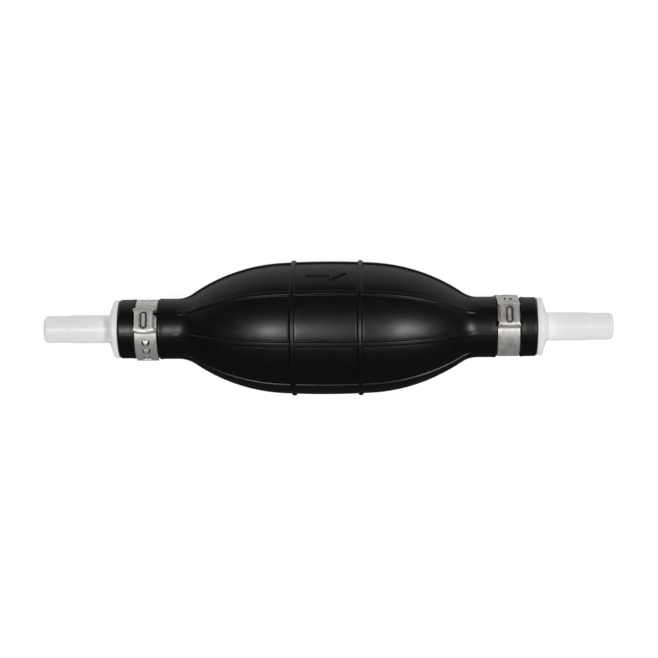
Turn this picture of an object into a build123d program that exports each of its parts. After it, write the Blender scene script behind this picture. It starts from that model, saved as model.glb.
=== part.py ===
from build123d import *

import os
from math import acos, asin, cos, degrees, radians, sin, sqrt

# Siphon squeeze bulb: a moulded rubber bulb with a plastic hose fitting clamped into each neck.
# X runs along the flow: the inlet is at -X, the outlet at +X, and the origin is on the axis at the
# bulb's middle. Angles round the axis are counted from +Z towards +Y. Sizes are in millimetres and
# degrees.

# Bulb: one half of its outline is a crown, side and shoulder arc, then the neck.
belly_radius = 21.6
crown_arc_radius = 258.0
crown_angle = 3.25          # where the crown arc hands over to the side arc
side_arc_radius = 56.0
shoulder_arc_radius = 10.4
neck_length = 19.0          # from the shoulder's end to the lip
neck_taper = 0.25           # how much narrower the neck is outside the clamp
lip_round = 1.0
wall = 2.85

rib_count = 8
rib_width = 1.3
rib_height = 0.45
rib_phase = -14.2           # one rib's angle; the others are spaced evenly from it
hoop_x = 10.8
hoop_width = 1.6
hoop_height = 0.65

# Raised flow arrow on one panel between the hoops, pointing at the outlet.
arrow_length = 13.0
arrow_head_length = 5.6
arrow_head_width = 7.0
arrow_shaft_width = 2.6
arrow_height = 0.45

# Hose fittings: an insert inside the neck, a flange against the lip, a cone and a two-step stem.
insert_wall = 1.5           # round the valve's cartridge
insert_root = 6.2           # solid length between the cartridge's socket and the lip
ridge_count = 3
ridge_setback = 6.6         # from the lip to the start of the nearest ridge
ridge_pitch = 4.6
ridge_length = 2.2
ridge_height = 0.35
insert_chamfer = 0.5
flange_step = 0.25          # how far the flange stays inside the lip's outline
flange_rim = 1.7
cone_length = 1.5
port_radius = 3.0
tip_wall = 1.35
tip_round_share = 0.9       # of the tip's wall
stem_flare = 0.2            # how much wider the stem is before its step
stem_length = 13.5          # the wider part, from the cone to the step
tip_length = 7.6
step_length = 0.4
fitting_round = 0.4

# Check valves: the same cartridge in both fittings, opening towards +X. Lengths inside a cartridge
# are counted downstream from its upstream face.
chamber_radius = 4.5
cartridge_wall = 1.0
cartridge_lip = 0.6         # how far the shell reaches past the guide's ring
cartridge_recess = 0.6      # from the cartridge to the insert's open end
seat_wall = 2.0
seat_radius = 2.6
seat_rim_width = 0.6
seat_rim_height = 0.5
poppet_gap = 1.0            # for the water, round the poppet's disc
poppet_disc = 0.9
poppet_nose_radius = 1.9
poppet_nose_length = 1.3
poppet_neck_radius = 1.2
poppet_stem_radius = 1.0
poppet_travel = 2.0
seal_thickness = 1.0
spring_length = 6.0
spring_wire = 0.4
spring_radius = 1.75        # to the middle of the wire
spring_turns = 5.0
guide_hub_radius = 2.4
guide_hub_length = 2.0
guide_ring_wall = 0.8
guide_ring_length = 3.0
guide_spokes = 3
guide_spoke_width = 1.0
guide_clearance = 0.05      # between the poppet's stem and the guide's hole

# Ear clamps: one steel strip each, lapped and hooked together on one side of the ear.
strip_width = 7.0
strip_thickness = 0.6
clamp_setback = 9.3         # from the lip to the strip's middle
clamp_bite = 0.65           # how far the closed strip sinks into the neck
groove_clearance = 0.15
groove_slope = 0.2
lap_gap = 0.2
lap_end = 106.0             # where the outer layer stops, from the ear's middle
ear_half = 3.85
ear_pinch = 0.3             # how far each leg leans in at its foot
ear_height = 2.2            # from the strip's outside to the ear's outside
ear_bend = 0.9
ear_waist = 6.0
ear_wing = 0.3              # how far the ear's corners stand out past the strip
dimple_length = 5.8
dimple_width = 2.4
dimple_depth = 0.4
window_angles = (41.5, 60.0, 84.0)
window_width = 2.8
window_length = 2.1
hook_width = 2.0
hook_length = 1.7
hook_proud = 0.35
inlet_ear_angle = 13.5
outlet_ear_angle = 21.0


def shoulder_slope(belly, crown, side, shoulder, neck):
    """The slope, in degrees, at which the side arc hands over to the shoulder arc."""
    start = radians(crown_angle)
    side_drop = belly - neck - crown * (1 - cos(start))
    return degrees(acos((side * cos(start) + shoulder - side_drop) / (side + shoulder)))


# Worked out from the sizes above: radii from the valve outwards, then places along the axis.
cartridge_radius = chamber_radius + cartridge_wall
bore_radius = cartridge_radius + insert_wall
neck_radius = bore_radius + wall
lip_radius = neck_radius - neck_taper
flange_radius = lip_radius - flange_step
clamp_inside = lip_radius - clamp_bite
clamp_outside = clamp_inside + strip_thickness
poppet_radius = chamber_radius - poppet_gap
stem_tip_radius = port_radius + tip_wall
stem_radius = stem_tip_radius + stem_flare
panel_angle = rib_phase + 1.5 * 360 / rib_count

seal_x = seat_wall + seat_rim_height
disc_x = seal_x + seal_thickness
spring_x = disc_x + poppet_disc
guide_x = spring_x + spring_length
poppet_end = guide_x + guide_hub_length + 0.4 * poppet_travel
cartridge_length = guide_x + guide_ring_length + cartridge_lip

slope = shoulder_slope(belly_radius, crown_arc_radius, side_arc_radius, shoulder_arc_radius, neck_radius)
shoulder_x = (
    (crown_arc_radius - side_arc_radius) * sin(radians(crown_angle))
    + (side_arc_radius + shoulder_arc_radius) * sin(radians(slope))
)
lip_x = shoulder_x + neck_length
clamp_x = lip_x - clamp_setback
socket_x = lip_x - insert_root
insert_x = socket_x - cartridge_length - cartridge_recess
cone_x = lip_x + flange_rim
stem_x = cone_x + cone_length
step_x = stem_x + stem_length
tip_x = step_x + step_length + tip_length
upstream_faces = {"inlet": -socket_x, "outlet": insert_x + cartridge_recess}

downstream = Axis((0, 0, 0), (1, 0, 0))
round_the_axis = Axis((0, 0, 0), (-1, 0, 0))


def turned(shape, angle):
    """A shape modelled at the top, carried round the axis from +Z towards +Y."""
    return Rot(X=-angle) * shape


def lathe(edges):
    """The solid that a closed half section, drawn as x and radius, sweeps round the X axis."""
    return revolve(make_face(edges), axis=downstream)


def lathe_points(*points):
    return lathe(Polyline(*points, close=True).edges())


def flank(belly, crown, side, shoulder, neck):
    """Crown, side and shoulder arcs from the bulb's middle to its neck, each tangent to the next."""
    slope = shoulder_slope(belly, crown, side, shoulder, neck)
    top = JernArc((0, belly), (1, 0), crown, -crown_angle)
    flare = JernArc(top @ 1, top % 1, side, crown_angle - slope)
    foot = JernArc(flare @ 1, flare % 1, shoulder, slope)
    return [top, flare, foot]


def both_halves(half):
    """A solid of revolution from the edges of its right half, which end on the axis."""
    edges = [edge for line in half for edge in line.edges()]
    mirrored = [edge for line in half for edge in mirror(line, about=Plane.YZ).edges()]
    end = (half[-1] @ 1).X
    return lathe(edges + mirrored + Line((end, 0), (-end, 0)).edges())


def ridge_points():
    """The sawtooth ridges along the insert, ramped on the side that goes in first."""
    points = []
    for number in range(ridge_count):
        start = lip_x - ridge_setback - (ridge_count - 1 - number) * ridge_pitch
        stop = start + ridge_length
        points += [(start, bore_radius), (stop, bore_radius + ridge_height), (stop, bore_radius)]
    return points


def bulb_outside():
    arcs = flank(belly_radius, crown_arc_radius, side_arc_radius, shoulder_arc_radius, neck_radius)
    groove = strip_width / 2 + groove_clearance
    neck = Polyline(
        arcs[-1] @ 1,
        (clamp_x - groove - groove_slope, neck_radius),
        (clamp_x - groove, clamp_inside),
        (clamp_x + groove, clamp_inside),
        (clamp_x + groove + groove_slope, lip_radius),
        (lip_x - lip_round, lip_radius),
    )
    corner = JernArc(neck @ 1, (1, 0), lip_round, -90)
    return both_halves([*arcs, neck, corner, Line(corner @ 1, (lip_x, 0))])


def bulb_cavity():
    arcs = flank(
        belly_radius - wall,
        crown_arc_radius - wall,
        side_arc_radius - wall,
        shoulder_arc_radius + wall,
        bore_radius,
    )
    bore = Polyline(arcs[-1] @ 1, *ridge_points(), (lip_x, bore_radius), (lip_x, 0))
    return both_halves([*arcs, bore])


def bulb_ribs():
    """Lengthwise ribs that run out where the shoulder meets the neck."""
    arcs = flank(
        belly_radius + rib_height,
        crown_arc_radius + rib_height,
        side_arc_radius + rib_height,
        shoulder_arc_radius,
        neck_radius,
    )
    blank = both_halves([*arcs, Line(arcs[-1] @ 1, ((arcs[-1] @ 1).X, 0))])
    reach = belly_radius + 2 * rib_height
    blade = Pos(0, 0, reach / 2) * Box(2 * lip_x, rib_width, reach)
    return [turned(blade, rib_phase + n * 360 / rib_count) & blank for n in range(rib_count)]


def bulb_hoops():
    """Round-topped hoops, each an arc of the stated width and height above the belly."""
    ring_radius = ((hoop_width / 2) ** 2 + hoop_height**2) / (2 * hoop_height)
    belly_drop = hoop_x**2 / (2 * crown_arc_radius)
    centre_radius = belly_radius - belly_drop + hoop_height - ring_radius
    hoop = Rot(Y=90) * Torus(centre_radius, ring_radius)
    return [Pos(side * hoop_x, 0, 0) * hoop for side in (-1, 1)]


def squeeze_bulb():
    bulb = bulb_outside()
    for raised in [*bulb_ribs(), *bulb_hoops()]:
        bulb += raised
    return bulb - bulb_cavity()


def flow_arrow():
    """A thin raised arrow that follows the belly's curve."""
    half = arrow_length / 2
    neck = half - arrow_head_length
    side = [
        (-half, arrow_shaft_width / 2),
        (neck, arrow_shaft_width / 2),
        (neck, arrow_head_width / 2),
    ]
    other_side = [(x, -y) for x, y in reversed(side)]
    outline = make_face(Polyline(*side, (half, 0), *other_side, close=True))
    post = extrude(Pos(0, 0, belly_radius / 2) * outline, amount=belly_radius)
    skins = []
    for proud in (arrow_height, 0):
        top = JernArc((0, belly_radius + proud), (1, 0), crown_arc_radius + proud, -crown_angle)
        skins.append(both_halves([top, Line(top @ 1, ((top @ 1).X, 0))]))
    return (turned(post, panel_angle) & skins[0]) - skins[1]


def hose_fitting():
    """The fitting as it sits at the outlet: insert, flange, cone and stem, with its port."""
    insert = Polyline(
        (insert_x, cartridge_radius),
        (insert_x, bore_radius - insert_chamfer),
        (insert_x + insert_chamfer, bore_radius),
        *ridge_points(),
        (lip_x, bore_radius),
    )
    outside = FilletPolyline(
        (lip_x, bore_radius),
        (lip_x, flange_radius),
        (cone_x, flange_radius),
        (stem_x, stem_radius),
        (step_x, stem_radius),
        (step_x + step_length, stem_tip_radius),
        (tip_x, stem_tip_radius),
        (tip_x, port_radius),
        radius=[fitting_round] * 3 + [fitting_round / 2] * 2 + [tip_round_share * tip_wall],
    )
    inside = Polyline(
        (tip_x, port_radius), (socket_x, port_radius), (socket_x, cartridge_radius),
        (insert_x, cartridge_radius),
    )
    return lathe([*insert.edges(), *outside.edges(), *inside.edges()])


def valve_body():
    """The cartridge's shell: a seat wall with a raised rim round its hole, and an open chamber."""
    rim = seat_radius + seat_rim_width
    return lathe_points(
        (0, seat_radius), (0, cartridge_radius), (cartridge_length, cartridge_radius),
        (cartridge_length, chamber_radius), (seat_wall, chamber_radius),
        (seat_wall, rim), (seal_x, rim), (seal_x, seat_radius),
    )


def poppet():
    """A nose that holds the seal, a neck through it, a disc behind it and a guide stem."""
    chamfer = poppet_nose_radius - poppet_neck_radius
    stem_chamfer = 0.3 * poppet_stem_radius
    nose_x = seal_x - poppet_nose_length
    return lathe_points(
        (nose_x, 0), (nose_x, poppet_neck_radius), (nose_x + chamfer, poppet_nose_radius),
        (seal_x, poppet_nose_radius), (seal_x, poppet_neck_radius),
        (disc_x, poppet_neck_radius), (disc_x, poppet_radius),
        (spring_x, poppet_radius), (spring_x, poppet_stem_radius),
        (poppet_end - stem_chamfer, poppet_stem_radius),
        (poppet_end, poppet_stem_radius - stem_chamfer), (poppet_end, 0),
    )


def poppet_seal():
    """The flat rubber washer that meets the seat's rim."""
    return lathe_points(
        (seal_x, poppet_neck_radius), (seal_x, poppet_radius),
        (disc_x, poppet_radius), (disc_x, poppet_neck_radius),
    )


def valve_spring():
    """A compression spring between the disc and the guide."""
    height = spring_length - spring_wire
    path = Helix(height / spring_turns, height, spring_radius)
    section = Plane(origin=path @ 0, z_dir=path % 0) * Circle(spring_wire / 2)
    coil = sweep(section, path=path, is_frenet=True)
    return Pos(spring_x + spring_wire / 2, 0, 0) * Rot(Y=90) * coil


def spring_guide():
    """A hub that guides the poppet's stem, carried by spokes in a ring pressed into the chamber."""
    hole = poppet_stem_radius + guide_clearance
    ring_inside = chamber_radius - guide_ring_wall
    ring_end = guide_x + guide_ring_length
    hub_end = guide_x + guide_hub_length
    ring = lathe_points(
        (guide_x, ring_inside), (guide_x, chamber_radius),
        (ring_end, chamber_radius), (ring_end, ring_inside),
    )
    hub = lathe_points(
        (guide_x, hole), (guide_x, guide_hub_radius), (hub_end, guide_hub_radius), (hub_end, hole),
    )
    middle = (guide_hub_radius + ring_inside) / 2
    reach = ring_inside - guide_hub_radius + guide_ring_wall
    spoke = Pos((guide_x + hub_end) / 2, 0, middle) * Box(guide_hub_length, guide_spoke_width, reach)
    guide = ring + hub
    for number in range(guide_spokes):
        guide += turned(spoke, number * 360 / guide_spokes)
    return guide


def strip_arc(inside, outside, start, stop):
    """A length of bent strip between two angles."""
    section = Plane.XZ * Pos(0, (inside + outside) / 2) * Rectangle(strip_width, outside - inside)
    return turned(revolve(section, axis=round_the_axis, revolution_arc=stop - start), start)


def clamp_ear():
    """The raised loop that closes the clamp: waisted, with wings at its corners and a dimple."""
    top = clamp_outside + ear_height
    middle = top - strip_thickness / 2
    half = ear_half - strip_thickness / 2
    foot = sqrt((clamp_inside + strip_thickness / 2) ** 2 - half**2)
    loop = FilletPolyline(
        (-half + ear_pinch, foot), (-half, middle), (half, middle), (half - ear_pinch, foot),
        radius=ear_bend,
    )
    full_width = strip_width + 2 * ear_wing
    ear = extrude(Plane.YZ * trace(loop, strip_thickness), amount=full_width / 2, both=True)
    sagitta = (full_width - ear_waist) / 2
    waist_radius = (ear_half**2 + sagitta**2) / (2 * sagitta)
    for side in (-1, 1):
        ear -= Pos(side * (ear_waist / 2 + waist_radius), 0, top) * Cylinder(waist_radius, 4 * ear_height)
    pressing = Pos(0, 0, top - dimple_depth) * Rot(Z=90) * SlotOverall(dimple_length, dimple_width)
    backing = offset(pressing, strip_thickness / 2)
    ear += extrude(backing, amount=-strip_thickness)
    return ear - extrude(pressing, amount=2 * dimple_depth)


def ear_clamp():
    """The closed clamp centred on x = 0, its ear at the top and its lap towards -Y."""
    lap_inside = clamp_outside + lap_gap
    lap_outside = lap_inside + strip_thickness
    lap_start = degrees(asin((ear_half - ear_pinch - strip_thickness / 2) / lap_outside))
    band = strip_arc(clamp_inside, clamp_outside, 0, 360)
    lap = strip_arc(lap_inside, lap_outside, -lap_end, -lap_start)
    hooks = []
    for angle in window_angles:
        window = Pos(0, 0, lap_outside) * Box(window_width, window_length, 4 * strip_thickness)
        lap -= turned(window, -angle)
        base = hook_length / 2
        tongue = make_face(
            Polyline((-hook_width / 2, base), (hook_width / 2, base), (0, -base), close=True)
        )
        foot = clamp_outside - strip_thickness / 2
        hook = extrude(Pos(0, 0, foot) * tongue, amount=lap_outside + hook_proud - foot)
        hooks.append(turned(hook, -angle))
    clamp = band + lap + clamp_ear()
    for hook in hooks:
        clamp += hook
    return clamp


nodes = {"squeeze_bulb": squeeze_bulb(), "flow_arrow": flow_arrow()}

fitting = hose_fitting()
nodes["outlet_fitting"] = fitting
nodes["inlet_fitting"] = mirror(fitting, about=Plane.YZ)

clamp = ear_clamp()
nodes["inlet_clamp"] = Pos(-clamp_x, 0, 0) * turned(clamp, inlet_ear_angle)
nodes["outlet_clamp"] = Pos(clamp_x, 0, 0) * turned(Rot(Z=180) * clamp, outlet_ear_angle)

cartridge = {
    "valve_body": valve_body(),
    "poppet": poppet(),
    "poppet_seal": poppet_seal(),
    "valve_spring": valve_spring(),
    "spring_guide": spring_guide(),
}
for end, face in upstream_faces.items():
    for name, piece in cartridge.items():
        nodes[f"{end}_{name}"] = Pos(face, 0, 0) * piece

os.makedirs("parts", exist_ok=True)
for name, shape in nodes.items():
    export_step(shape, f"parts/{name}.step")
    print(name, [round(side, 2) for side in shape.bounding_box().size], round(shape.volume, 1))
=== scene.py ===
import math

import bmesh
import bpy
import numpy as np
from mathutils import Euler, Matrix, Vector


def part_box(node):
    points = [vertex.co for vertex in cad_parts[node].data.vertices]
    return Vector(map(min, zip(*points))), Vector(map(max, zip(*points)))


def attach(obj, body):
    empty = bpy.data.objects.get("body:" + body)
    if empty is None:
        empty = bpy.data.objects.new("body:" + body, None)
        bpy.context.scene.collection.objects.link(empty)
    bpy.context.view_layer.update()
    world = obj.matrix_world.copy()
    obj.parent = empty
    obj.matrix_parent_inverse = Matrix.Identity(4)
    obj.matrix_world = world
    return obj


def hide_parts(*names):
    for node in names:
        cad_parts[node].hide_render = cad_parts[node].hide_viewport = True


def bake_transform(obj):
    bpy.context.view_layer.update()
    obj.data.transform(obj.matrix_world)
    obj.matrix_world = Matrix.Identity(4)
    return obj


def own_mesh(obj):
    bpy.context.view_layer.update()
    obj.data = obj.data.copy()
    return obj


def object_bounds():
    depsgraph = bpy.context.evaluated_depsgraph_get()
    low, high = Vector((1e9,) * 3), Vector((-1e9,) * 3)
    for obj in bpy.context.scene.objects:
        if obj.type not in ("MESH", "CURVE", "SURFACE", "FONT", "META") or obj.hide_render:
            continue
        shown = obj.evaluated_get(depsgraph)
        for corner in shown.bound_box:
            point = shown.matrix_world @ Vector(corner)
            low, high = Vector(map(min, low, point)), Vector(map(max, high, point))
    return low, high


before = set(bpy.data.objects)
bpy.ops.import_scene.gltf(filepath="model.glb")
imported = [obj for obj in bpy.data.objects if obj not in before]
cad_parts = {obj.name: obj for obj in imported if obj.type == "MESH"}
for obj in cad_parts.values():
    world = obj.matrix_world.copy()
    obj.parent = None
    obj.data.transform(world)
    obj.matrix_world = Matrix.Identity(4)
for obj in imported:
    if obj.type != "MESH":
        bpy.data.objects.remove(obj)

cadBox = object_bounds()
mm = 0.001
print("frame loaded:", len(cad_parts), "CAD nodes")

# Everything lies along X: the flow runs from the inlet at -X to the outlet at +X.
# Angles round the axis are counted from +Z towards +Y. Outlines are drawn in millimetres.
fixedBody = "bulb_and_fittings"
panelBody = "thumb_panel"
endSigns = {"inlet": -1, "outlet": 1}


# A piece from corner points and four-sided faces, turned outwards if its volume comes out negative.
def meshFromQuads(name, points, quads, uv=None, wear=None):
    a, b, c, d = (points[quads[:, k]] for k in range(4))
    volume = (np.cross(a, b) * c).sum() + (np.cross(a, c) * d).sum()
    if volume < 0:
        quads = quads[:, ::-1]
    mesh = bpy.data.meshes.new(name)
    mesh.vertices.add(len(points))
    mesh.vertices.foreach_set("co", points.astype(np.float32).ravel())
    mesh.loops.add(quads.size)
    mesh.loops.foreach_set("vertex_index", quads.astype(np.int32).ravel())
    mesh.polygons.add(len(quads))
    mesh.polygons.foreach_set("loop_start", np.arange(0, quads.size, 4, dtype=np.int32))
    mesh.polygons.foreach_set("use_smooth", np.ones(len(quads), dtype=bool))
    mesh.update(calc_edges=True)
    if uv is not None:
        layer = mesh.uv_layers.new(name="alongAndAcross")
        layer.data.foreach_set("uv", uv[quads.ravel()].astype(np.float32).ravel())
    # an optional amount of painted shade per point, kept as an attribute for the material to darken the
    # colour with
    if wear is not None:
        amount = mesh.attributes.new("wear", "FLOAT", "POINT")
        amount.data.foreach_set("value", wear.astype(np.float32).ravel())
    mesh.validate()
    piece = bpy.data.objects.new(name, mesh)
    bpy.context.scene.collection.objects.link(piece)
    return piece


# The four-sided faces of a rows by columns grid, joined up where it wraps.
def gridQuads(rows, columns, wrapRows=False, wrapColumns=False):
    index = np.arange(rows * columns).reshape(rows, columns)
    if wrapRows:
        index = np.vstack([index, index[:1]])
    if wrapColumns:
        index = np.hstack([index, index[:, :1]])
    corners = [index[:-1, :-1], index[1:, :-1], index[1:, 1:], index[:-1, 1:]]
    return np.stack(corners, axis=-1).reshape(-1, 4)


# Joins points that lie together, as at a pole or along a spine.
def mergeClose(piece, distance):
    work = bmesh.new()
    work.from_mesh(piece.data)
    bmesh.ops.remove_doubles(work, verts=work.verts, dist=distance)
    bmesh.ops.recalc_face_normals(work, faces=work.faces)
    work.to_mesh(piece.data)
    work.free()


# Straight runs through the corners, each inner corner swapped for an arc tangent to both runs.
def roundedLine(corners, radii, steps=8):
    corners = np.asarray(corners, float)
    parts = [corners[:1]]
    for before, corner, after, radius in zip(corners, corners[1:], corners[2:], radii):
        if radius <= 0:
            parts.append(corner[None])
            continue
        a = (before - corner) / np.linalg.norm(before - corner)
        b = (after - corner) / np.linalg.norm(after - corner)
        half = math.acos(np.clip(a @ b, -1, 1)) / 2
        centre = corner + (a + b) / np.linalg.norm(a + b) * radius / math.sin(half)
        first = corner + a * radius / math.tan(half) - centre
        last = corner + b * radius / math.tan(half) - centre
        start = math.atan2(first[1], first[0])
        turn = (math.atan2(last[1], last[0]) - start + math.pi) % (2 * math.pi) - math.pi
        angle = start + turn * np.linspace(0, 1, steps)
        parts.append(centre + radius * np.stack([np.cos(angle), np.sin(angle)], axis=1))
    parts.append(corners[-1:])
    return np.vstack(parts)


# 0 below low, 1 above high, with no corner at either.
def smoothStep(low, high, value):
    t = np.clip((value - low) / (high - low), 0, 1)
    return t * t * (3 - 2 * t)


# Points of an outline of (x, radius) carried round the axis, as a grid of outline by angle.
def spun(outline, angles, radius=None):
    x = np.broadcast_to(outline[:, :1], (len(outline), angles.shape[-1]))
    r = outline[:, 1:] if radius is None else radius
    return np.stack([x, r * np.sin(angles), r * np.cos(angles)], axis=-1) * mm


# A node material with its shader, and a helper that adds a node and wires its inputs.
def newMaterial(name):
    material = bpy.data.materials.new(name)
    material.use_nodes = True
    nodes, links = material.node_tree.nodes, material.node_tree.links
    shader = nodes["Principled BSDF"]

    def add(kind, settings=None, **wires):
        node = nodes.new(kind)
        for key, value in (settings or {}).items():
            if key in node.inputs:
                node.inputs[key].default_value = value
            else:
                setattr(node, key, value)
        for socket, source in wires.items():
            links.new(source, node.inputs[socket])
        return node

    return material, shader, add, links


rubberLook = {
    "colour": (0.0024, 0.0024, 0.0023, 1),
    "paleColour": (0.0042, 0.0041, 0.0039, 1),
    "roughness": (0.30, 0.41),
    "shine": 0.47,
    "grainScale": 2600.0,
    "grainDepth": 0.000012,
    "mottleScale": 260.0,
    "mottleDepth": 0.00004,
}


# Moulded rubber: near black, with a fine grain, a slow mottle and a slightly uneven sheen.
def rubberMaterial(name, look):
    material, shader, add, links = newMaterial(name)
    where = add("ShaderNodeTexCoord").outputs["Object"]
    mottle = add("ShaderNodeTexNoise", {"Scale": look["mottleScale"], "Detail": 3.0}, Vector=where)
    grain = add("ShaderNodeTexNoise", {"Scale": look["grainScale"], "Detail": 2.0}, Vector=where)
    tone = add("ShaderNodeMix", {"data_type": "RGBA"}, Factor=mottle.outputs["Fac"])
    tone.inputs[6].default_value = look["colour"]
    tone.inputs[7].default_value = look["paleColour"]
    links.new(tone.outputs[2], shader.inputs["Base Color"])
    low, high = look["roughness"]
    sheen = add("ShaderNodeMapRange", {"To Min": low, "To Max": high}, Value=mottle.outputs["Fac"])
    links.new(sheen.outputs["Result"], shader.inputs["Roughness"])
    coarse = add(
        "ShaderNodeBump", {"Strength": 1.0, "Distance": look["mottleDepth"]}, Height=mottle.outputs["Fac"]
    )
    fine = add(
        "ShaderNodeBump",
        {"Strength": 1.0, "Distance": look["grainDepth"]},
        Height=grain.outputs["Fac"],
        Normal=coarse.outputs["Normal"],
    )
    links.new(fine.outputs["Normal"], shader.inputs["Normal"])
    shader.inputs["Specular IOR Level"].default_value = look["shine"]
    return material


plasticLook = {
    "colour": (0.985, 0.985, 0.985, 1),
    "shadeColour": (0.96, 0.96, 0.96, 1),
    "roughness": (0.30, 0.42),
    "cloudScale": 180.0,
    "grainScale": 1500.0,
    "grainDepth": 0.00001,
    "scatter": 0.15,
    "scatterDepth": 0.001,
    # painted light: a faint even glow over the whole plastic, standing in for light that comes through the
    # milky wall
    "paintedGlow": 0.1,                     # stands in for the light that comes through the milky wall
}


# Natural polypropylene: milky, letting a little light in, with a faint cloudiness and grain, and a faint
# painted glow standing in for light through the wall.
def plasticMaterial(name, look):
    material, shader, add, links = newMaterial(name)
    where = add("ShaderNodeTexCoord").outputs["Object"]
    cloud = add("ShaderNodeTexNoise", {"Scale": look["cloudScale"], "Detail": 4.0}, Vector=where)
    grain = add("ShaderNodeTexNoise", {"Scale": look["grainScale"], "Detail": 2.0}, Vector=where)
    tone = add("ShaderNodeMix", {"data_type": "RGBA"}, Factor=cloud.outputs["Fac"])
    tone.inputs[6].default_value = look["shadeColour"]
    tone.inputs[7].default_value = look["colour"]
    links.new(tone.outputs[2], shader.inputs["Base Color"])
    low, high = look["roughness"]
    sheen = add("ShaderNodeMapRange", {"To Min": low, "To Max": high}, Value=cloud.outputs["Fac"])
    links.new(sheen.outputs["Result"], shader.inputs["Roughness"])
    relief = {"Strength": 1.0, "Distance": look["grainDepth"]}
    bump = add("ShaderNodeBump", relief, Height=grain.outputs["Fac"])
    links.new(bump.outputs["Normal"], shader.inputs["Normal"])
    shader.inputs["Subsurface Weight"].default_value = look["scatter"]
    shader.inputs["Subsurface Radius"].default_value = (look["scatterDepth"],) * 3
    shader.inputs["Subsurface Scale"].default_value = 1.0
    # painted light: the plastic glows faintly, though it is no lamp
    shader.inputs["Emission Color"].default_value = (1, 1, 1, 1)
    shader.inputs["Emission Strength"].default_value = look["paintedGlow"]
    return material


steelLook = {
    "colour": (0.95, 0.94, 0.92, 1),
    "darkColour": (0.62, 0.59, 0.55, 1),
    "roughness": (0.44, 0.58),
    "metallic": 0.72,
    # painted shade: the dark colour mixed in on the dimple's walls
    "paintedShadeColour": (0.05, 0.042, 0.035, 1),
    "brushAcross": 9.0,       # brush lines to the millimetre, across the strip
    "brushAlong": 0.35,
    "brushDepth": 0.000006,
    "brushStrength": 0.6,
    "stainScale": 420.0,
    "stainRange": (0.1, 0.4),
}


# Stainless steel: brush lines along the strip where it has its own layout, a faint stain, and painted shade
# that darkens the colour where the piece's own attribute says, on the dimple's walls.
def steelMaterial(name, look, uvLayer=None):
    material, shader, add, links = newMaterial(name)
    where = add("ShaderNodeTexCoord").outputs["Object"]
    if uvLayer:
        layout = add("ShaderNodeUVMap", {"uv_map": uvLayer}).outputs["UV"]
        scale = (look["brushAlong"], look["brushAcross"], 1)
    else:
        layout = where
        scale = (1 / mm, 1 / mm, 1 / mm)
    spread = add("ShaderNodeMapping", {"Scale": scale}, Vector=layout)
    brush = add("ShaderNodeTexNoise", {"Scale": 1.0, "Detail": 5.0}, Vector=spread.outputs["Vector"])
    stain = add("ShaderNodeTexNoise", {"Scale": look["stainScale"], "Detail": 2.0}, Vector=where)
    mixed = add("ShaderNodeMath", {"operation": "MULTIPLY"})
    links.new(brush.outputs["Fac"], mixed.inputs[0])
    links.new(stain.outputs["Fac"], mixed.inputs[1])
    least, most = look["stainRange"]
    lifted = add("ShaderNodeMapRange", {"From Min": least, "From Max": most}, Value=mixed.outputs["Value"])
    tone = add("ShaderNodeMix", {"data_type": "RGBA"}, Factor=lifted.outputs["Result"])
    tone.inputs[6].default_value = look["darkColour"]
    tone.inputs[7].default_value = look["colour"]
    # painted shade: the piece's attribute darkens the base colour towards the painted shade colour
    paintedShadeAmount = add("ShaderNodeAttribute", {"attribute_name": "wear"})
    paintedShadeTone = add("ShaderNodeMix", {"data_type": "RGBA"}, Factor=paintedShadeAmount.outputs["Fac"])
    paintedShadeTone.inputs[7].default_value = look["paintedShadeColour"]
    links.new(tone.outputs[2], paintedShadeTone.inputs[6])
    links.new(paintedShadeTone.outputs[2], shader.inputs["Base Color"])
    low, high = look["roughness"]
    sheen = add("ShaderNodeMapRange", {"To Min": low, "To Max": high}, Value=brush.outputs["Fac"])
    links.new(sheen.outputs["Result"], shader.inputs["Roughness"])
    ridges = {"Strength": look["brushStrength"], "Distance": look["brushDepth"]}
    bump = add("ShaderNodeBump", ridges, Height=brush.outputs["Fac"])
    links.new(bump.outputs["Normal"], shader.inputs["Normal"])
    shader.inputs["Metallic"].default_value = look["metallic"]
    return material


# where the hidden valves' materials differ from the outside ones
sealLook = {"roughness": (0.5, 0.6)}
valveLook = {"colour": (0.72, 0.70, 0.64, 1), "scatter": 0.1, "paintedGlow": 0}

bulbRubber = rubberMaterial("bulbRubber", rubberLook)
sealRubber = rubberMaterial("sealRubber", rubberLook | sealLook)
fittingPlastic = plasticMaterial("fittingPlastic", plasticLook)
valvePlastic = plasticMaterial("valvePlastic", plasticLook | valveLook)
clampSteel = steelMaterial("clampSteel", steelLook, "alongAndAcross")
springSteel = steelMaterial("springSteel", steelLook)
print("materials made")


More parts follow.
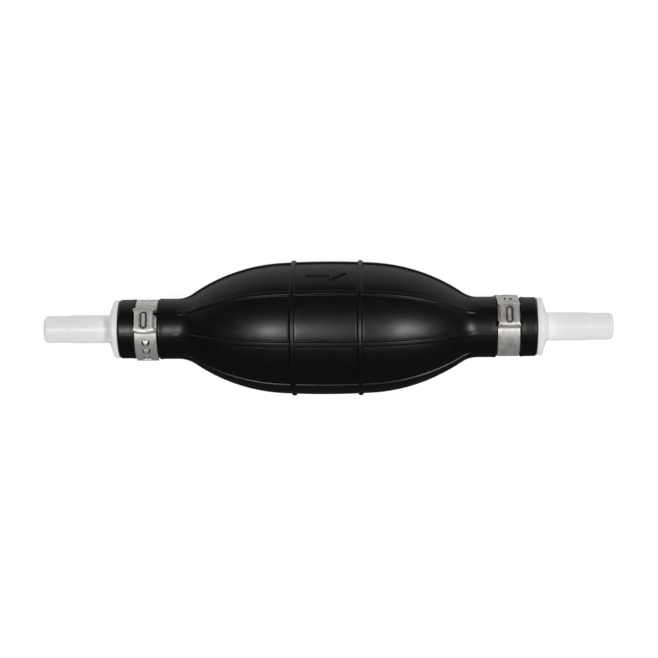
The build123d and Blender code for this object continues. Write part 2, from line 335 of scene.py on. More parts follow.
bulb = {
    "bellyRadius": 21.6,
    "crownArc": 258.0,
    "crownAngle": 3.25,
    "sideArc": 56.0,
    "shoulderArc": 10.4,
    "neckRadius": 9.85,
    "lipRadius": 9.6,
    "lipRound": 1.0,
    "wall": 2.85,
    "ribCount": 8,
    "ribPhase": -14.2,
    "ribHeight": 0.45,
    "ribHalfWidth": (0.38, 0.82),    # to the edge of the crest, and to the foot
    "hoopX": 10.8,
    "hoopHeight": 0.65,
    "hoopHalfWidth": 0.85,
    "moatDepth": 0.05,               # the shallow line at the foot of each rib and hoop
    "moatWidth": 0.35,
    "clampHalfWidth": 3.5,
    "clampBite": 0.65,
    "clampBulge": 0.10,
    "clampBulgeAt": 0.9,             # from the strip's edge
    "clampBulgeWidth": 0.6,
    "clampClearance": 0.03,
    "pinchEase": (0.05, 0.5),
    "taperReach": 6.0,               # the neck narrows to its lip over this much on each side of the clamp
    "flashHeight": 0.05,             # the mould's parting line along both necks
    "flashWidth": 0.16,
    "flashFrom": (46.0, 49.0),       # where along the neck it fades in
    "lipArc": 0.9,
    "boreRound": 0.25,
    "moatOffset": 0.1,
    "hoopMargin": 0.7,               # fine rows reach this far past each hoop
    "clampMargins": (1.2, 0.1),      # and this far out and in from each edge of the clamp
    "shoulderX": 40.0,               # rows change their spacing here,
    "neckX": 49.5,                   # here outside,
    "boreX": 49.0,                   # and here inside
    "pressReach": (10.05, 21.1),     # heights over the axis where the thumb moves nothing, and everything
}

clampX = sum(corner.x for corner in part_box("outlet_clamp")) / 2 / mm    # the middle of the strip


# Centres, radii and end angles of the crown, side and shoulder arcs, each tangent to the next.
def flankArcs(belly, crown, side, shoulder, neck):
    start = math.radians(bulb["crownAngle"])
    sideDrop = belly - neck - crown * (1 - math.cos(start))
    slope = math.acos((side * math.cos(start) + shoulder - sideDrop) / (side + shoulder))
    crownCentre = (0.0, belly - crown)
    handOver = (crown * math.sin(start), crownCentre[1] + crown * math.cos(start))
    sideCentre = (handOver[0] - side * math.sin(start), handOver[1] - side * math.cos(start))
    sideEnd = (sideCentre[0] + side * math.sin(slope), sideCentre[1] + side * math.cos(slope))
    footCentre = (sideEnd[0] + shoulder * math.sin(slope), sideEnd[1] + shoulder * math.cos(slope))
    return start, slope, crownCentre, sideCentre, footCentre


# Radius of the flank at each x: the circle of whichever arc spans it, then the neck.
def flankRadius(x, belly, crown, side, shoulder, neck):
    x = np.abs(x)
    start, slope, crownCentre, sideCentre, footCentre = flankArcs(belly, crown, side, shoulder, neck)
    onCrown = crownCentre[1] + np.sqrt(crown**2 - x**2)
    onSide = sideCentre[1] + np.sqrt(np.maximum(side**2 - (x - sideCentre[0]) ** 2, 0))
    onFoot = footCentre[1] - np.sqrt(np.maximum(shoulder**2 - (x - footCentre[0]) ** 2, 0))
    spans = [x < crown * math.sin(start), x < sideCentre[0] + side * math.sin(slope), x < footCentre[0]]
    return np.select(spans, [onCrown, onSide, onFoot], neck)


# The rubber's outer radius without its ribs: flank, then a neck that the clamp pinches.
def outerRadius(x):
    radius = flankRadius(
        x, bulb["bellyRadius"], bulb["crownArc"], bulb["sideArc"], bulb["shoulderArc"], bulb["neckRadius"]
    )
    x = np.abs(x)
    taper = smoothStep(clampX - bulb["taperReach"], clampX + bulb["taperReach"], x)
    radius = radius - taper * (bulb["neckRadius"] - bulb["lipRadius"])
    fromClamp = np.abs(x - clampX) - bulb["clampHalfWidth"]
    pinch = 1 - smoothStep(*bulb["pinchEase"], fromClamp)
    fromBulge = (fromClamp - bulb["clampBulgeAt"]) / bulb["clampBulgeWidth"]
    bulge = bulb["clampBulge"] * np.exp(-(fromBulge**2))
    floor = bulb["lipRadius"] - bulb["clampBite"] - bulb["clampClearance"]
    return radius + (floor - radius) * pinch + bulge * (1 - pinch)


# 1 over the crest, falling with rounded shoulders to 0 at the foot.
def bead(distance, crest, foot):
    return np.sqrt(np.clip(1 - np.clip((distance - crest) / (foot - crest), 0, 1) ** 2, 0, 1))


# Stops joined by evenly spaced values, each stop appearing once.
def spacedEvenly(stops, steps):
    parts = [np.linspace(a, b, n, endpoint=False) for a, b, n in zip(stops, stops[1:], steps)]
    return np.concatenate([*parts, stops[-1:]])


# One closed skin: outside, both lips, both bores and the cavity, as a loop carried round the axis.
# Outside, the radius is the flank's plus ribs at eight angles, two hoops, and a thin flash line.
def makeBulb():
    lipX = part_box("squeeze_bulb")[1].x / mm
    hoop, half = bulb["hoopX"], bulb["hoopHalfWidth"]
    clampEdge = clampX - bulb["clampHalfWidth"]
    farEdge = clampX + bulb["clampHalfWidth"]
    reach = half + bulb["hoopMargin"]
    outer, inner = bulb["clampMargins"]
    # rows stand closest over the hoops and at both edges of the clamp
    outX = spacedEvenly(
        np.array([0, hoop - reach, hoop + reach, bulb["shoulderX"], bulb["neckX"], clampEdge - outer,
                  clampEdge + inner, farEdge - inner, farEdge + outer, lipX - bulb["lipRound"]]),
        [16, 30, 44, 24, 8, 14, 3, 14, 6],
    )
    outside = np.stack([outX, outerRadius(outX)], axis=1)
    bore = bulb["neckRadius"] - bulb["wall"]
    lipRadius = outside[-1, 1]
    lip = roundedLine([outside[-1], (lipX, lipRadius), (lipX, bore), (lipX - 1, bore)],
                      [bulb["lipArc"], bulb["boreRound"]])[1:]
    inX = spacedEvenly(np.array([lipX - 2, bulb["boreX"], bulb["shoulderX"], 0]), [3, 6, 14])
    inside = np.stack([inX, flankRadius(
        inX, bulb["bellyRadius"] - bulb["wall"], bulb["crownArc"] - bulb["wall"],
        bulb["sideArc"] - bulb["wall"], bulb["shoulderArc"] + bulb["wall"], bore,
    )], axis=1)
    right = np.vstack([outside, lip, inside])
    left = right[1:-1][::-1] * (-1, 1)
    outline = np.vstack([right, left])

    # columns sit at set distances from each rib, so that its walls stay crisp from belly to neck,
    # and five more share out what is left of the panel
    near = spacedEvenly(np.array([0, 0.3, 1.0, 1.5]), [1, 7, 2])
    pitch = 2 * math.pi / bulb["ribCount"]
    radius = np.maximum(outline[:, 1:], 1)
    nearAngle = near[None] / radius
    share = np.linspace(0, 1, 6)[1:]
    farAngle = nearAngle[:, -1:] + (pitch / 2 - nearAngle[:, -1:]) * share[None]
    halfSector = np.hstack([nearAngle, farAngle])
    sector = np.hstack([-halfSector[:, :0:-1], halfSector[:, :-1]])
    ribs = math.radians(bulb["ribPhase"]) + pitch * np.arange(bulb["ribCount"])
    angles = (ribs[None, :, None] + sector[:, None, :]).reshape(len(outline), -1)

    x = outline[:, :1]
    isOutside = np.zeros(len(outline), bool)
    isOutside[:len(outside)] = True
    isOutside[len(outline) - len(outside) + 1:] = True
    distance = np.abs(np.tile(sector, bulb["ribCount"])) * outline[:, 1:]
    ribTop = flankRadius(
        x, bulb["bellyRadius"] + bulb["ribHeight"], bulb["crownArc"] + bulb["ribHeight"],
        bulb["sideArc"] + bulb["ribHeight"], bulb["shoulderArc"], bulb["neckRadius"],
    )
    ribFoot = flankRadius(
        x, bulb["bellyRadius"], bulb["crownArc"], bulb["sideArc"], bulb["shoulderArc"], bulb["neckRadius"]
    )
    crest, foot = bulb["ribHalfWidth"]
    fade = (ribTop - ribFoot) / bulb["ribHeight"]
    ribRelief = (ribTop - ribFoot) * bead(distance, crest, foot)
    fromHoop = np.abs(np.abs(x) - hoop)
    hoopRelief = bulb["hoopHeight"] * bead(fromHoop, 0.0, half)
    moatAt, moatWidth = bulb["moatOffset"], bulb["moatWidth"]
    moat = np.exp(-(((distance - foot - moatAt) / moatWidth) ** 2)) * np.clip(fade, 0, 1)
    hoopMoat = np.exp(-(((fromHoop - half - moatAt) / moatWidth) ** 2))
    relief = np.maximum(ribRelief, hoopRelief)
    relief = np.where(relief > 0, relief, -bulb["moatDepth"] * np.maximum(moat, hoopMoat))
    flashAt = (np.arange(bulb["ribCount"]) % (bulb["ribCount"] // 2) == 0).repeat(sector.shape[1])
    onNeck = smoothStep(*bulb["flashFrom"], np.abs(x))
    flash = bulb["flashHeight"] * np.exp(-((distance / bulb["flashWidth"]) ** 2)) * flashAt[None] * onNeck
    raised = outline[:, 1:] + (relief + flash) * isOutside[:, None]
    points = spun(outline, angles, raised)
    quads = gridQuads(*points.shape[:2], wrapRows=True, wrapColumns=True)
    piece = meshFromQuads("squeezeBulb", points.reshape(-1, 3), quads)
    piece.data.materials.append(bulbRubber)
    return piece


panelAngle = math.radians(bulb["ribPhase"] + 1.5 * 360 / bulb["ribCount"])
squeezeBulb = makeBulb()
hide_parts("squeeze_bulb")
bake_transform(squeezeBulb)
print("bulb made:", len(squeezeBulb.data.polygons), "faces")


arrow = {
    "length": 13.0,
    "headLength": 5.6,
    "headWidth": 7.0,
    "shaftWidth": 2.6,
    "cornerRound": 0.35,
    "height": 0.45,
    "edgeRound": 0.28,
    "sunk": 0.25,
    "spineIntoHead": 0.6,            # share of the head that the spine runs into
    "crownInset": 0.6,
    "longRun": 0.8,                  # sides longer than this are cut into seven
}


# Rings from the arrow's outline in to its spine, lifted like a domed cushion and bent round the belly.
def makeArrow():
    half, neck = arrow["length"] / 2, arrow["length"] / 2 - arrow["headLength"]
    shaft, head = arrow["shaftWidth"] / 2, arrow["headWidth"] / 2
    side = [(-half, 0), (-half, shaft), (neck, shaft), (neck, head), (half, 0)]
    upper = roundedLine(side, [arrow["cornerRound"]] * 3, steps=5)
    runs = [np.linspace(a, b, 7 if np.linalg.norm(b - a) > arrow["longRun"] else 1, endpoint=False)
            for a, b in zip(upper, upper[1:])]
    upper = np.vstack([*runs, upper[-1:]])
    outline = np.vstack([upper, upper[-2:0:-1] * (1, -1)])
    spineEnd = neck + arrow["spineIntoHead"] * arrow["headLength"]
    spine = np.stack([np.clip(outline[:, 0], -half + shaft, spineEnd), np.zeros(len(outline))], 1)
    reach = np.linalg.norm(outline - spine, axis=1, keepdims=True)
    edge, sunk, height = arrow["edgeRound"], -arrow["sunk"], arrow["height"]
    turn = np.linspace(0, math.pi / 2, 6)
    # rings: the underside's spine, its rim, up the rounded edge, over the crown, and in to the top's spine
    onSpine = 1e9
    insets = np.concatenate([[onSpine, 0], edge * (1 - np.cos(turn)), [arrow["crownInset"], onSpine]])
    lifts = np.concatenate([[sunk, sunk], height - edge + edge * np.sin(turn), [height, height]])
    share = np.clip(insets[:, None, None] / np.maximum(reach, 1e-6), 0, 1)
    plan = outline[None] + (spine - outline)[None] * share
    radius = flankRadius(
        plan[..., 0], bulb["bellyRadius"], bulb["crownArc"], bulb["sideArc"], bulb["shoulderArc"],
        bulb["neckRadius"],
    ) + lifts[:, None]
    angle = panelAngle + plan[..., 1] / bulb["bellyRadius"]
    points = np.stack([plan[..., 0], radius * np.sin(angle), radius * np.cos(angle)], axis=-1) * mm
    piece = meshFromQuads(
        "flowArrow", points.reshape(-1, 3), gridQuads(*points.shape[:2], wrapColumns=True)
    )
    mergeClose(piece, 0.00001)
    piece.data.materials.append(bulbRubber)
    return piece


flowArrow = makeArrow()
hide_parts("flow_arrow")
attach(flowArrow, panelBody)
print("flow arrow made")


fitting = {
    "insertRadius": 7.0,
    "insertChamfer": 0.5,
    "ridgeFirst": 5.0,
    "ridgePitch": 4.6,
    "ridgeLength": 2.2,
    "ridgeHeight": 0.35,
    "ridgeCount": 3,
    "flangeRim": 1.7,
    "coneLength": 1.5,
    "stemRadius": 4.55,
    "stemLength": 13.5,
    "stepLength": 1.6,               # the stem eases down to its tip over this length
    "tipRadius": 4.35,
    "tipRound": 1.25,
    "portRadius": 3.0,
    "portRound": 0.35,
    "socketRadius": 5.5,
    "socketDepth": 14.6,
    "sides": 128,
    "runLength": 1.0,                # long straight runs are cut about this short
    "flangeRounds": (0.2, 0.55),     # at the rubber's lip, and at the cone
    "coneRound": 0.7,
    "stepRound": 4.0,
    "socketRound": 0.1,
    "ridgeBack": 0.05,
}


# A closed outline of (x, radius), from the insert out over flange, cone and stem and back along the port.
def makeFitting(end):
    low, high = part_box("outlet_fitting")
    insertX, tipX, flangeRadius = low.x / mm, high.x / mm, high.z / mm
    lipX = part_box("squeeze_bulb")[1].x / mm
    insert = [(insertX, fitting["insertRadius"] - fitting["insertChamfer"]),
              (insertX + fitting["insertChamfer"], fitting["insertRadius"])]
    for number in range(fitting["ridgeCount"]):
        start = insertX + fitting["ridgeFirst"] + number * fitting["ridgePitch"]
        stop = start + fitting["ridgeLength"]
        insert += [(start, fitting["insertRadius"]),
                   (stop, fitting["insertRadius"] + fitting["ridgeHeight"]),
                   (stop + fitting["ridgeBack"], fitting["insertRadius"])]
    coneX = lipX + fitting["flangeRim"]
    stemX = coneX + fitting["coneLength"]
    stepX = stemX + fitting["stemLength"]
    socketX = insertX + fitting["socketDepth"]
    corners = [
        *insert, (lipX, fitting["insertRadius"]), (lipX, flangeRadius), (coneX, flangeRadius),
        (stemX, fitting["stemRadius"]), (stepX - fitting["stepLength"] / 2, fitting["stemRadius"]),
        (stepX + fitting["stepLength"] / 2, fitting["tipRadius"]), (tipX, fitting["tipRadius"]),
        (tipX, fitting["portRadius"]), (socketX, fitting["portRadius"]),
        (socketX, fitting["socketRadius"]), (insertX, fitting["socketRadius"]),
    ]
    radii = [0] * len(insert) + [*fitting["flangeRounds"], fitting["coneRound"]]
    radii += [fitting["stepRound"]] * 2 + [fitting["tipRound"], fitting["portRound"]]
    radii += [fitting["socketRound"]] * 2
    outline = roundedLine(corners, radii, steps=9)
    # long straight runs are split so that the shading stays even along the stem
    runs = [np.linspace(a, b, max(1, int(np.linalg.norm(b - a) / fitting["runLength"])), endpoint=False)
            for a, b in zip(outline, outline[1:])]
    outline = np.vstack([*runs, outline[-1:]])
    angles = np.linspace(0, 2 * math.pi, fitting["sides"], endpoint=False)[None]
    points = spun(outline * (endSigns[end], 1), angles)
    quads = gridQuads(*points.shape[:2], wrapRows=True, wrapColumns=True)
    piece = meshFromQuads(end + "Fitting", points.reshape(-1, 3), quads)
    piece.data.materials.append(fittingPlastic)
    return piece


for end in endSigns:
    piece = makeFitting(end)
    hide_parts(end + "_fitting")
    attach(piece, fixedBody)
    piece.data.set_sharp_from_angle(angle=math.radians(50))
print("fittings made")


clampStrip = {
    "width": 7.0,
    "thickness": 0.6,
    "insideRadius": 8.95,
    "lapGap": 0.2,
    "tongueAngle": 14.0,             # the inner end stops here, under the ear
    "lapAngle": 106.0,               # the outer end stops here
    "earHalf": 4.1,
    "earPinch": 0.3,
    "earHeight": 2.2,
    "earBend": 0.95,
    "footBend": 0.55,
    "earWaist": 5.8,
    "earWing": 0.3,
    "earLean": {"inlet": -0.45, "outlet": -0.1},
    "lapRoot": 25.0,                 # the lap leaves the ear's foot here
    "lapSkew": {"inlet": 0.0, "outlet": 1.1},
    "earRise": 1.8,                  # the strip takes the ear's width over this height
    "earLead": 5.0,                  # degrees of the neck's circle before each foot
    "waistPower": 5,
    "waistEase": (0.15, 0.8),        # shares of that height between which the width changes
    "creaseBulge": {"inlet": 1.5, "outlet": 0.7},    # how far each crease's middle stands out past its ends
    "creaseInset": 0.25,
    "dimpleHalfLength": 3.0,
    "dimpleHalfWidth": 1.25,
    "dimpleDepth": 0.6,
    "dimpleWall": (0.5, 1.02),       # from the flat floor to the rim, in shares of the half width
    "dimpleRim": 0.08,
    "rimAt": 1.15,
    "rimWidth": 0.15,
    "dimpleReach": 0.3,              # points lower than this under the ear's top are left alone
    # where and how wide the painted shade lies across the dimple, in shares of its half width
    "paintedShadeAt": 0.8,
    "paintedShadeWidth": 0.3,
    "windowAngles": (42.0, 61.0, 82.0),
    "windowHalfLengths": (1.05, 1.1, 1.4),
    "windowHalfWidth": 1.35,
    "slotHalfLengths": (0.98, 1.03, 1.33),    # where the inner layer's tongues were cut from it
    "slotHalfWidth": 1.2,
    "hookHalfWidth": 1.0,
    "hookLength": 1.7,
    "hookProud": 0.2,
    "hookRoot": 0.45,
    "hookTaper": 0.9,
    "edgeRound": 0.09,
    "arcSteps": 9,                   # points on each bend of the ear
    "topCuts": 48,                   # across the ear's flat top
    "angleStep": 2.5,                # degrees between rows elsewhere
    "endRound": 1.2,
    "angles": {"inlet": 14.7, "outlet": 21.0},
}


# Points at angles counted from the top, as (towards +, up).
def onCircle(radius, degrees):
    angle = np.radians(degrees)
    return np.stack([radius * np.sin(angle), radius * np.cos(angle)], axis=-1)


# Angles falling from start to stop in steps of at most angleStep, with one on each edge of every window.
def windowedAngles(start, stop, halfLengths, radius):
    stops = [start]
    for middle, half in zip(clampStrip["windowAngles"], halfLengths):
        reach = math.degrees(half / radius)
        stops += [-middle + reach, -middle - reach]
    stops = np.array([*stops, stop])
    return spacedEvenly(stops, np.ceil(-np.diff(stops) / clampStrip["angleStep"]).astype(int))


# How far the lap has run aside at an angle: nothing at its root, all of the skew at its end.
def lapShift(end, place):
    root, stop = clampStrip["lapRoot"], clampStrip["lapAngle"]
    return clampStrip["lapSkew"][end] * (place - root) / (stop - root)


# Which faces, row by column, lie in a window of one of the strip's two layers.
def inWindow(path, lower, upper, halfLengths, halfWidth, across, shiftEnd=None):
    middles = (path[:-1] + path[1:]) / 2
    radius = np.hypot(*middles.T)
    angle = np.degrees(np.arctan2(middles[:, 0], middles[:, 1]))
    isLayer = (radius > lower) & (radius < upper)
    middle = (across[:-1] + across[1:]) / 2
    cut = np.zeros((len(angle), len(middle)), bool)
    for place, half in zip(clampStrip["windowAngles"], halfLengths):
        near = isLayer & (np.abs(angle + place) < math.degrees(half / upper))
        shift = lapShift(shiftEnd, place) if shiftEnd else 0
        cut |= near[:, None] & (np.abs(middle - shift) < halfWidth)[None]
    return cut


# The strip's middle line: tongue, once round the neck, up and over the ear, then the outer lap.
def stripPath():
    c = clampStrip
    band = c["insideRadius"] + c["thickness"] / 2
    lap = band + c["thickness"] + c["lapGap"]
    half = c["earHalf"] - c["thickness"] / 2
    top = c["insideRadius"] + c["thickness"] + c["earHeight"] - c["thickness"] / 2
    foot = half - c["earPinch"]
    bandFoot = math.degrees(math.asin(foot / band))
    lapFoot = math.degrees(math.asin(foot / lap))
    lead, steps = c["earLead"], c["arcSteps"]
    turnAngles = windowedAngles(c["tongueAngle"], bandFoot + lead - 360, c["slotHalfLengths"], band)
    turn = onCircle(band, turnAngles)
    ear = roundedLine(
        [onCircle(band, bandFoot + lead), onCircle(band, bandFoot), (half, top), (-half, top),
         onCircle(lap, -lapFoot), onCircle(lap, -lapFoot - lead)],
        [c["footBend"], c["earBend"], c["earBend"], c["footBend"]], steps=steps,
    )
    # the ear's flat top, between its second and third bend, is cut finely for the dimple
    last = 2 * steps
    flat = np.linspace(ear[last], ear[last + 1], c["topCuts"])[1:-1]
    ear = np.vstack([ear[:last + 1], flat, ear[last + 1:]])
    lapAngles = windowedAngles(-lapFoot - lead, -c["lapAngle"], c["windowHalfLengths"], lap)[1:]
    path = np.vstack([turn, ear, onCircle(lap, lapAngles)])
    return path, len(turn), len(turn) + len(ear), lap, top, half


# Turns the clamp to its ear's angle. The outlet's is the same clamp, turned end for end.
def placeClamp(points, end):
    x, u, v = points.T * mm
    if end == "outlet":
        x, u = -x, -u
    angle = math.radians(clampStrip["angles"][end])
    y = u * math.cos(angle) + v * math.sin(angle)
    z = v * math.cos(angle) - u * math.sin(angle)
    return np.stack([x + endSigns[end] * clampX * mm, y, z], axis=1)


# The strip's middle surface, path by width, with windows left out, then given its thickness.
def makeClamp(end):
    c = clampStrip
    path, earStart, earEnd, lap, top, half = stripPath()
    edge = c["width"] / 2
    window, slot = c["windowHalfWidth"], c["slotHalfWidth"]
    across = spacedEvenly(np.array([-edge, -window, -slot, slot, window, edge]), [8, 4, 16, 4, 8])
    step = np.linalg.norm(np.diff(path, axis=0), axis=1)
    along = np.concatenate([[0], np.cumsum(step)])

    # width: rounded ends, a waist over the ear and small wings at its corners
    fromEnd = np.minimum(along, along[-1] - along)
    inset = np.clip(c["endRound"] - fromEnd, 0, None)
    halfWidth = edge - c["endRound"] + np.sqrt(np.clip(c["endRound"] ** 2 - inset**2, 0, None))
    onEar = np.zeros(len(path), bool)
    onEar[earStart:earEnd] = True
    height = np.clip((path[:, 1] - (top - c["earRise"])) / c["earRise"], 0, 1) * onEar
    earShare = np.clip(np.abs(path[:, 0]) / half, 0, 1)
    earWidth = c["earWaist"] / 2 + (edge + c["earWing"] - c["earWaist"] / 2) * earShare ** c["waistPower"]
    onTopShare = smoothStep(*c["waistEase"], height)
    halfWidth = halfWidth + (earWidth - halfWidth) * onTopShare

    x = across[None] * (halfWidth / edge)[:, None]
    u = np.repeat(path[:, :1], len(across), axis=1)
    v = np.repeat(path[:, 1:], len(across), axis=1)
    # the creases bow outwards between the wings, because the dimple is pressed between them
    bow = c["creaseBulge"][end] * (1 - (across / edge) ** 2)[None] - c["creaseInset"]
    u = u + np.sign(u) * bow * (height * earShare**3)[:, None]
    # the dimple is a stadium pressed into the ear's top, with a soft rim
    overEnd = np.clip(np.abs(u) - (c["dimpleHalfLength"] - c["dimpleHalfWidth"]), 0, None)
    fromMiddle = np.hypot(x, overEnd) / c["dimpleHalfWidth"]
    onTop = onEar[:, None] & (v > top - c["dimpleReach"])
    pressed = 1 - smoothStep(*c["dimpleWall"], fromMiddle)
    rim = c["dimpleRim"] * np.exp(-(((fromMiddle - c["rimAt"]) / c["rimWidth"]) ** 2))
    v = v + np.where(onTop, rim - c["dimpleDepth"] * pressed, 0)

    x = x + c["earLean"][end] * (height * onTopShare)[:, None]
    onLap = np.clip((along - along[earEnd]) / (along[-1] - along[earEnd]), 0, 1)
    x = x + c["lapSkew"][end] * onLap[:, None]

    # painted shade: the colour is darkened on the dimple's walls, standing in for the shade on its steep
    # sides
    wear = np.where(onTop, np.exp(-(((fromMiddle - c["paintedShadeAt"]) / c["paintedShadeWidth"]) ** 2)), 0)

    points = np.stack([x, u, v], axis=-1)
    uv = np.stack([np.repeat(along[:, None], len(across), 1), np.repeat(across[None], len(along), 0)], -1)
    middleLayer = lap - (c["thickness"] + c["lapGap"]) / 2
    cut = inWindow(path, 0, middleLayer, c["slotHalfLengths"], slot, across, end)
    cut |= inWindow(path, middleLayer, lap + 0.1, c["windowHalfLengths"], window, across)
    quads = gridQuads(*points.shape[:2])[~cut.ravel()]

    placed = placeClamp(points.reshape(-1, 3), end)
    strip = meshFromQuads(end + "ClampStrip", placed, quads, uv.reshape(-1, 2), wear)
    strip.data.materials.append(clampSteel)
    thick = strip.modifiers.new("thickness", "SOLIDIFY")
    thick.thickness = c["thickness"] * mm
    thick.offset = 0
    thick.use_even_offset = True
    soften = strip.modifiers.new("edges", "BEVEL")
    soften.width = c["edgeRound"] * mm
    soften.segments = 2
    soften.limit_method = "ANGLE"
    soften.angle_limit = math.radians(50)
    soften.harden_normals = False
    return strip


# A triangular tongue cut from the inner layer and bent up through its window: a tapering ramp.
def makeHook(end, place, halfLength):
    c = clampStrip
    band = c["insideRadius"] + c["thickness"]
    tip = band + c["lapGap"] + c["thickness"] + c["hookProud"]
    along = np.linspace(0, 1, 8)
    side = np.linspace(-1, 1, 5)
    width = c["hookHalfWidth"] * (1 - c["hookTaper"] * along)
    angle = -place + math.degrees(halfLength / tip) - math.degrees(c["hookLength"] / tip) * along
    root = band + c["hookRoot"]
    height = root + (tip - root) * np.sin(along * math.pi / 2)
    rings = []
    for radius in (height, height - c["thickness"]):
        line = onCircle(radius[:, None], angle[:, None])[:, 0]
        x = width[:, None] * side + lapShift(end, place)
        rings.append(np.stack([x, np.repeat(line[:, :1], 5, 1), np.repeat(line[:, 1:], 5, 1)], -1))
    loop = np.concatenate([rings[0], rings[1][:, ::-1]], axis=1)
    start, stop = loop[:1].mean(1, keepdims=True), loop[-1:].mean(1, keepdims=True)
    caps = [np.repeat(start, loop.shape[1], 1), loop, np.repeat(stop, loop.shape[1], 1)]
    points = np.concatenate(caps, axis=0)
    uv = np.stack([points[..., 1], points[..., 0]], axis=-1)
    piece = meshFromQuads(
        f"{end}ClampHook{int(place)}", placeClamp(points.reshape(-1, 3), end),
        gridQuads(*points.shape[:2], wrapColumns=True), uv.reshape(-1, 2),
    )
    mergeClose(piece, 0.000002)
    piece.data.materials.append(clampSteel)
    piece.data.set_sharp_from_angle(angle=math.radians(40))
    return piece


for end in endSigns:
    strip = makeClamp(end)
    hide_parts(end + "_clamp")
    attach(strip, fixedBody)
    for place, halfLength in zip(clampStrip["windowAngles"], clampStrip["windowHalfLengths"]):
        hook = makeHook(end, place, halfLength)
        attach(hook, fixedBody)
print("clamps made")


springCoil = {
    "wireRadius": 0.2,
    "coilRadius": 1.75,
    "turns": 5.0,
    "closedTurns": 0.8,
    "steps": 48,
    "sides": 10,
}


# A wire tube along a helix whose pitch eases to nothing over each end turn.
def makeSpring(end):
    c = springCoil
    low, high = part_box(end + "_valve_spring")
    first, last = low.x / mm + c["wireRadius"], high.x / mm - c["wireRadius"]
    turns = c["turns"] + 2 * c["closedTurns"]
    t = np.linspace(0, turns, int(turns * c["steps"]))
    rise = smoothStep(0, c["closedTurns"], t) * smoothStep(0, c["closedTurns"], turns - t)
    climb = np.cumsum(rise)
    x = first + (last - first) * climb / climb[-1]
    angle = 2 * math.pi * t
    line = np.stack([x, c["coilRadius"] * np.sin(angle), c["coilRadius"] * np.cos(angle)], axis=1)
    tangent = np.gradient(line, axis=0)
    tangent /= np.linalg.norm(tangent, axis=1, keepdims=True)
    outwards = np.stack([np.zeros_like(t), np.sin(angle), np.cos(angle)], axis=1)
    binormal = np.cross(tangent, outwards)
    around = np.linspace(0, 2 * math.pi, c["sides"], endpoint=False)[None, :, None]
    ring = np.cos(around) * outwards[:, None] + np.sin(around) * binormal[:, None]
    points = line[:, None] + c["wireRadius"] * ring
    ends = [np.repeat(line[:1, None], c["sides"], 1), points, np.repeat(line[-1:, None], c["sides"], 1)]
    points = np.concatenate(ends) * mm
    piece = meshFromQuads(
        end + "ValveSpring", points.reshape(-1, 3), gridQuads(*points.shape[:2], wrapColumns=True)
    )
    mergeClose(piece, 0.000001)
    piece.data.materials.append(springSteel)
    return piece


valveMaterials = {
    "valve_body": valvePlastic,
    "spring_guide": valvePlastic,
    "poppet": valvePlastic,
    "poppet_seal": sealRubber,
}
for end in endSigns:
    spring = makeSpring(end)
    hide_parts(end + "_valve_spring")
    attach(spring, fixedBody)
    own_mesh(spring)
    for name, material in valveMaterials.items():
        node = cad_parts[f"{end}_{name}"]
        node.data.materials.clear()
        node.data.materials.append(material)
print("valves finished")


stage = {
    "floorSize": 4.0,
    "floorColour": (0.22, 0.22, 0.22, 1),
    "floorGlow": 0.94,
    "floorGap": 0.0002,
    "floorRoughness": 0.9,
    "floorShine": 0.1,
}


# A plain pale sheet just under the bulb's hoops.
def makeFloor():
    half = stage["floorSize"] / 2
    level = cadBox[0].z - stage["floorGap"]
    mesh = bpy.data.meshes.new("floor")
    corners = [(-half, -half, level), (half, -half, level), (half, half, level), (-half, half, level)]
    mesh.from_pydata(corners, [], [(0, 1, 2, 3)])
    floor = bpy.data.objects.new("floor", mesh)
    bpy.context.scene.collection.objects.link(floor)
    material, shader = newMaterial("floorPaper")[:2]
    shader.inputs["Base Color"].default_value = stage["floorColour"]
    shader.inputs["Roughness"].default_value = stage["floorRoughness"]
    shader.inputs["Specular IOR Level"].default_value = stage["floorShine"]
    shader.inputs["Emission Color"].default_value = (1, 1, 1, 1)
    shader.inputs["Emission Strength"].default_value = stage["floorGlow"]
    mesh.materials.append(material)
    floor.visible_glossy = False
    return floor


lamps = {
    # name: (place, width, height, watts); each is aimed at the bulb's middle
    "leftSoftbox": ((-0.33, -0.105, 1.15), 0.19, 0.19, 4.3),
    "rightSoftbox": ((0.66, -0.105, 1.15), 0.36, 0.22, 6.7),
}


# Two rectangular lamps, each turned so that it shines along the line from its place to the origin.
def makeLamps():
    for name, (place, width, height, watts) in lamps.items():
        light = bpy.data.lights.new(name, "AREA")
        light.shape = "RECTANGLE"
        light.size, light.size_y = width, height
        light.energy = watts
        lamp = bpy.data.objects.new(name, light)
        lamp.location = place
        lamp.rotation_euler = (-Vector(place)).to_track_quat("-Z", "Y").to_euler()
        bpy.context.scene.collection.objects.link(lamp)


surroundings = {
    "dim": 0.04,
    "bright": 0.48,
    "towardsY": (0.0, 0.6),          # the bright side fades in over this part of the direction's Y
    "belowZ": (0.4, -0.15),          # and over this part of its Z, from above down to the horizon
}


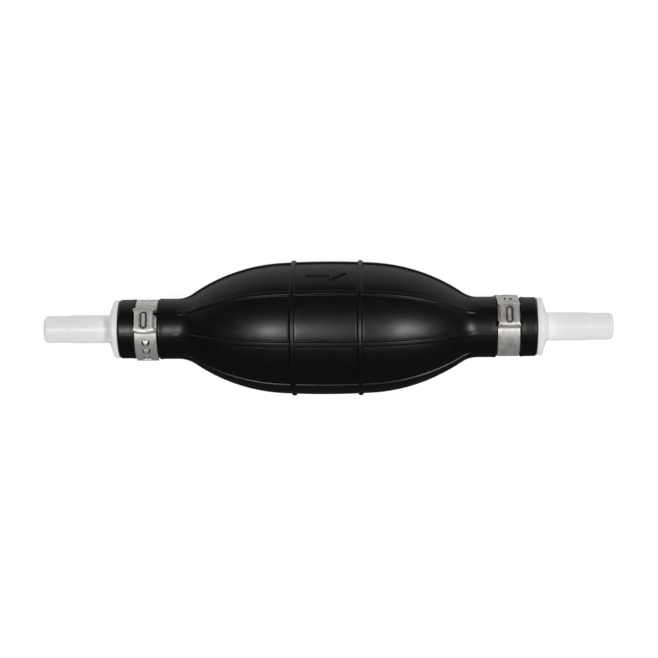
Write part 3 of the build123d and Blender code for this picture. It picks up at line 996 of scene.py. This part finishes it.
# Dim surroundings with a pale wall low on the +Y side, and white where the camera sees them.
def makeWorld():
    world = bpy.data.worlds.new("surroundings")
    world.use_nodes = True
    nodes, links = world.node_tree.nodes, world.node_tree.links
    split = nodes.new("ShaderNodeSeparateXYZ")
    links.new(nodes.new("ShaderNodeTexCoord").outputs["Generated"], split.inputs[0])
    fades = []
    for axis, (start, stop) in {"Y": surroundings["towardsY"], "Z": surroundings["belowZ"]}.items():
        fade = nodes.new("ShaderNodeMapRange")
        fade.interpolation_type = "SMOOTHSTEP"
        fade.inputs["From Min"].default_value = start
        fade.inputs["From Max"].default_value = stop
        links.new(split.outputs[axis], fade.inputs["Value"])
        fades.append(fade.outputs["Result"])
    both = nodes.new("ShaderNodeMath")
    both.operation = "MULTIPLY"
    for socket, fade in zip(both.inputs, fades):
        links.new(fade, socket)
    level = nodes.new("ShaderNodeMapRange")
    level.inputs["To Min"].default_value = surroundings["dim"]
    level.inputs["To Max"].default_value = surroundings["bright"]
    links.new(both.outputs["Value"], level.inputs["Value"])
    seen = nodes.new("ShaderNodeLightPath")
    pick = nodes.new("ShaderNodeMix")
    pick.inputs["B"].default_value = 1.0
    links.new(seen.outputs["Is Camera Ray"], pick.inputs["Factor"])
    links.new(level.outputs["Result"], pick.inputs["A"])
    background = nodes["Background"]
    links.new(pick.outputs["Result"], background.inputs["Strength"])
    background.inputs["Color"].default_value = (1, 1, 1, 1)
    bpy.context.scene.world = world


camera = {
    "distance": 0.620,
    "frameWidth": 0.2142,            # what the view spans at the bulb's axis
    "sensorWidth": 36,
    "shiftX": 0.00045,
    "shiftY": -0.0005,
    "lean": 1.8,
    "roll": -0.35,
}


# Looks down on the bulb from a little over half a metre, leaning slightly towards the outlet.
def makeCamera():
    data = bpy.data.cameras.new("camera")
    data.sensor_width = camera["sensorWidth"]
    data.lens = camera["sensorWidth"] * camera["distance"] / camera["frameWidth"]
    data.clip_start = 0.01
    viewer = bpy.data.objects.new("camera", data)
    lean = math.radians(camera["lean"])
    viewer.location = (
        camera["shiftX"] + camera["distance"] * math.sin(lean),
        camera["shiftY"],
        camera["distance"] * math.cos(lean),
    )
    viewer.rotation_euler = Euler((0, lean, math.radians(camera["roll"])))
    bpy.context.scene.collection.objects.link(viewer)
    bpy.context.scene.camera = viewer


makeFloor()
makeLamps()
makeWorld()
makeCamera()
bpy.context.scene.view_settings.view_transform = "Standard"
print("stage, light and camera set")
